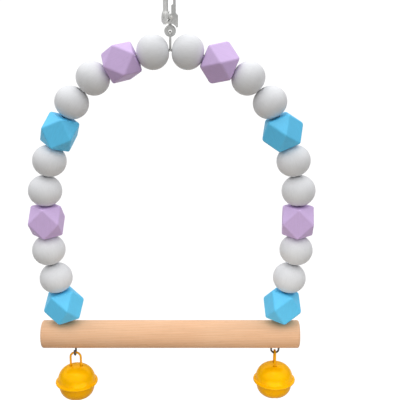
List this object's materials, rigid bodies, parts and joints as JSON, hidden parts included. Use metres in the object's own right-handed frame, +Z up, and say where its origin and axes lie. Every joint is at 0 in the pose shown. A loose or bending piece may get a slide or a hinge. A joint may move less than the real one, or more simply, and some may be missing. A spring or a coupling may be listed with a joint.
{
  "type": "bird swing",
  "caption": "Hanging bird swing: a wire arch strung with round and faceted wooden beads, a dowel perch, two jingle bells and a swivel snap clip.",
  "frame": {"origin": "Centre of the round seat inside the clip's hook, where the cage bar lies.", "axes": "+Z up, +X to the right of the arch seen from the front, +Y to the back, along the cage bar. The arch lies in the XZ plane."},
  "size_m": [0.1697, 0.0287, 0.2622],
  "materials": {
    "clip_metal": "die-cast, bright plated, satin",
    "rivet_steel": "plated steel",
    "spring_steel": "drawn wire",
    "wire_steel": "drawn steel wire, dull",
    "perch_wood": "bare, fine straight grain",
    "white_wood": "painted white, satin",
    "lilac_wood": "stained lilac, satin",
    "blue_wood": "stained sky blue, satin",
    "bell_enamel": "yellow enamel, glossy",
    "bail_enamel": "yellow enamel, glossy",
    "ball_steel": "tumbled steel"
  },
  "bodies": {
    "clip": {"clip_body": "clip_metal", "gate_rivet": "rivet_steel", "gate_spring": "spring_steel"},
    "gate": {"clip_gate": "clip_metal"},
    "swivel": {"swivel_eye": "clip_metal"},
    "swing": {"arch_wire": "wire_steel", "perch": "perch_wood"},
    "left_bead_1": {"left_bead_1": "white_wood"},
    "left_bead_2": {"left_bead_2": "lilac_wood"},
    "left_bead_3": {"left_bead_3": "white_wood"},
    "left_bead_4": {"left_bead_4": "white_wood"},
    "left_bead_5": {"left_bead_5": "blue_wood"},
    "left_bead_6": {"left_bead_6": "white_wood"},
    "left_bead_7": {"left_bead_7": "white_wood"},
    "left_bead_8": {"left_bead_8": "lilac_wood"},
    "left_bead_9": {"left_bead_9": "white_wood"},
    "left_bead_10": {"left_bead_10": "white_wood"},
    "left_bead_11": {"left_bead_11": "blue_wood"},
    "left_bell": {"left_bell_dome": "bell_enamel", "left_bell_bowl": "bell_enamel", "left_bell_bail": "bail_enamel"},
    "left_ball": {"left_bell_ball": "ball_steel"},
    "right_bead_1": {"right_bead_1": "white_wood"},
    "right_bead_2": {"right_bead_2": "lilac_wood"},
    "right_bead_3": {"right_bead_3": "white_wood"},
    "right_bead_4": {"right_bead_4": "white_wood"},
    "right_bead_5": {"right_bead_5": "blue_wood"},
    "right_bead_6": {"right_bead_6": "white_wood"},
    "right_bead_7": {"right_bead_7": "white_wood"},
    "right_bead_8": {"right_bead_8": "lilac_wood"},
    "right_bead_9": {"right_bead_9": "white_wood"},
    "right_bead_10": {"right_bead_10": "white_wood"},
    "right_bead_11": {"right_bead_11": "blue_wood"},
    "right_bell": {"right_bell_dome": "bell_enamel", "right_bell_bowl": "bell_enamel", "right_bell_bail": "bail_enamel"},
    "right_ball": {"right_bell_ball": "ball_steel"}
  },
  "joints": [
    {"name": "gate_hinge", "type": "hinge", "parent": "clip", "child": "gate", "pos_m": [0.00045, 0, -0.02161], "axis": [0, -1, 0], "range_deg": [0, 12], "stiffness_Nm_per_rad": 0.004, "springref_deg": -28.65, "deforming": ["gate_spring"]},
    {"name": "swivel_turn", "type": "hinge", "parent": "clip", "child": "swivel", "pos_m": [-0.00035, 0, -0.0232], "axis": [0, 0, 1], "continuous": true},
    {"name": "swing_hinge", "type": "hinge", "parent": "swivel", "child": "swing", "pos_m": [-0.00035, 0, -0.0312], "axis": [1, 0, 0], "range_deg": [-60, 60]},
    {"name": "left_bead_1_spin", "type": "hinge", "parent": "swing", "child": "left_bead_1", "pos_m": [-0.01023, 0, -0.04051], "axis": [-0.9923, 0, -0.1236], "continuous": true},
    {"name": "left_bead_2_spin", "type": "hinge", "parent": "swing", "child": "left_bead_2", "pos_m": [-0.02795, 0, -0.04634], "axis": [-0.9191, 0, -0.3939], "continuous": true},
    {"name": "left_bead_3_spin", "type": "hinge", "parent": "swing", "child": "left_bead_3", "pos_m": [-0.04439, 0, -0.05516], "axis": [-0.7738, 0, -0.6334], "continuous": true},
    {"name": "left_bead_4_spin", "type": "hinge", "parent": "swing", "child": "left_bead_4", "pos_m": [-0.05702, 0, -0.06883], "axis": [-0.5697, 0, -0.8219], "continuous": true},
    {"name": "left_bead_5_spin", "type": "hinge", "parent": "swing", "child": "left_bead_5", "pos_m": [-0.06478, 0, -0.08587], "axis": [-0.3822, 0, -0.9241], "continuous": true},
    {"name": "left_bead_6_spin", "type": "hinge", "parent": "swing", "child": "left_bead_6", "pos_m": [-0.07165, 0, -0.10307], "axis": [-0.2567, 0, -0.9665], "continuous": true},
    {"name": "left_bead_7_spin", "type": "hinge", "parent": "swing", "child": "left_bead_7", "pos_m": [-0.07519, 0, -0.12112], "axis": [-0.1277, 0, -0.9918], "continuous": true},
    {"name": "left_bead_8_spin", "type": "hinge", "parent": "swing", "child": "left_bead_8", "pos_m": [-0.07534, 0, -0.13963], "axis": [0.0045, 0, -1], "continuous": true},
    {"name": "left_bead_9_spin", "type": "hinge", "parent": "swing", "child": "left_bead_9", "pos_m": [-0.07502, 0, -0.15813], "axis": [0.1367, 0, -0.9906], "continuous": true},
    {"name": "left_bead_10_spin", "type": "hinge", "parent": "swing", "child": "left_bead_10", "pos_m": [-0.07156, 0, -0.17621], "axis": [0.2079, 0, -0.9781], "continuous": true},
    {"name": "left_bead_11_spin", "type": "hinge", "parent": "swing", "child": "left_bead_11", "pos_m": [-0.0677, 0, -0.19437], "axis": [0.2079, 0, -0.9781], "continuous": true},
    {"name": "left_bell_swing", "type": "hinge", "parent": "swing", "child": "left_bell", "pos_m": [-0.0617, -0.00235, -0.22678], "axis": [0, 1, 0], "range_deg": [-60, 60]},
    {"name": "left_ball_roll", "type": "hinge", "parent": "left_bell", "child": "left_ball", "pos_m": [-0.0617, -0.00235, -0.24528], "axis": [0, 1, 0], "range_deg": [-60, 60]},
    {"name": "right_bead_1_spin", "type": "hinge", "parent": "swing", "child": "right_bead_1", "pos_m": [0.00953, 0, -0.04051], "axis": [0.9923, 0, -0.1236], "continuous": true},
    {"name": "right_bead_2_spin", "type": "hinge", "parent": "swing", "child": "right_bead_2", "pos_m": [0.02725, 0, -0.04634], "axis": [0.9191, 0, -0.3939], "continuous": true},
    {"name": "right_bead_3_spin", "type": "hinge", "parent": "swing", "child": "right_bead_3", "pos_m": [0.04369, 0, -0.05516], "axis": [0.7738, 0, -0.6334], "continuous": true},
    {"name": "right_bead_4_spin", "type": "hinge", "parent": "swing", "child": "right_bead_4", "pos_m": [0.05631, 0, -0.06883], "axis": [0.5697, 0, -0.8219], "continuous": true},
    {"name": "right_bead_5_spin", "type": "hinge", "parent": "swing", "child": "right_bead_5", "pos_m": [0.06409, 0, -0.08587], "axis": [0.3822, 0, -0.9241], "continuous": true},
    {"name": "right_bead_6_spin", "type": "hinge", "parent": "swing", "child": "right_bead_6", "pos_m": [0.07095, 0, -0.10307], "axis": [0.2567, 0, -0.9665], "continuous": true},
    {"name": "right_bead_7_spin", "type": "hinge", "parent": "swing", "child": "right_bead_7", "pos_m": [0.07449, 0, -0.12112], "axis": [0.1277, 0, -0.9918], "continuous": true},
    {"name": "right_bead_8_spin", "type": "hinge", "parent": "swing", "child": "right_bead_8", "pos_m": [0.07464, 0, -0.13963], "axis": [-0.0045, 0, -1], "continuous": true},
    {"name": "right_bead_9_spin", "type": "hinge", "parent": "swing", "child": "right_bead_9", "pos_m": [0.07432, 0, -0.15813], "axis": [-0.1367, 0, -0.9906], "continuous": true},
    {"name": "right_bead_10_spin", "type": "hinge", "parent": "swing", "child": "right_bead_10", "pos_m": [0.07086, 0, -0.17621], "axis": [-0.2079, 0, -0.9781], "continuous": true},
    {"name": "right_bead_11_spin", "type": "hinge", "parent": "swing", "child": "right_bead_11", "pos_m": [0.067, 0, -0.19437], "axis": [-0.2079, 0, -0.9781], "continuous": true},
    {"name": "right_bell_swing", "type": "hinge", "parent": "swing", "child": "right_bell", "pos_m": [0.06335, 0, -0.22678], "axis": [1, 0, 0], "range_deg": [-75, 75]},
    {"name": "right_ball_roll", "type": "hinge", "parent": "right_bell", "child": "right_ball", "pos_m": [0.06335, 0, -0.24528], "axis": [1, 0, 0], "range_deg": [-60, 60]}
  ]
}
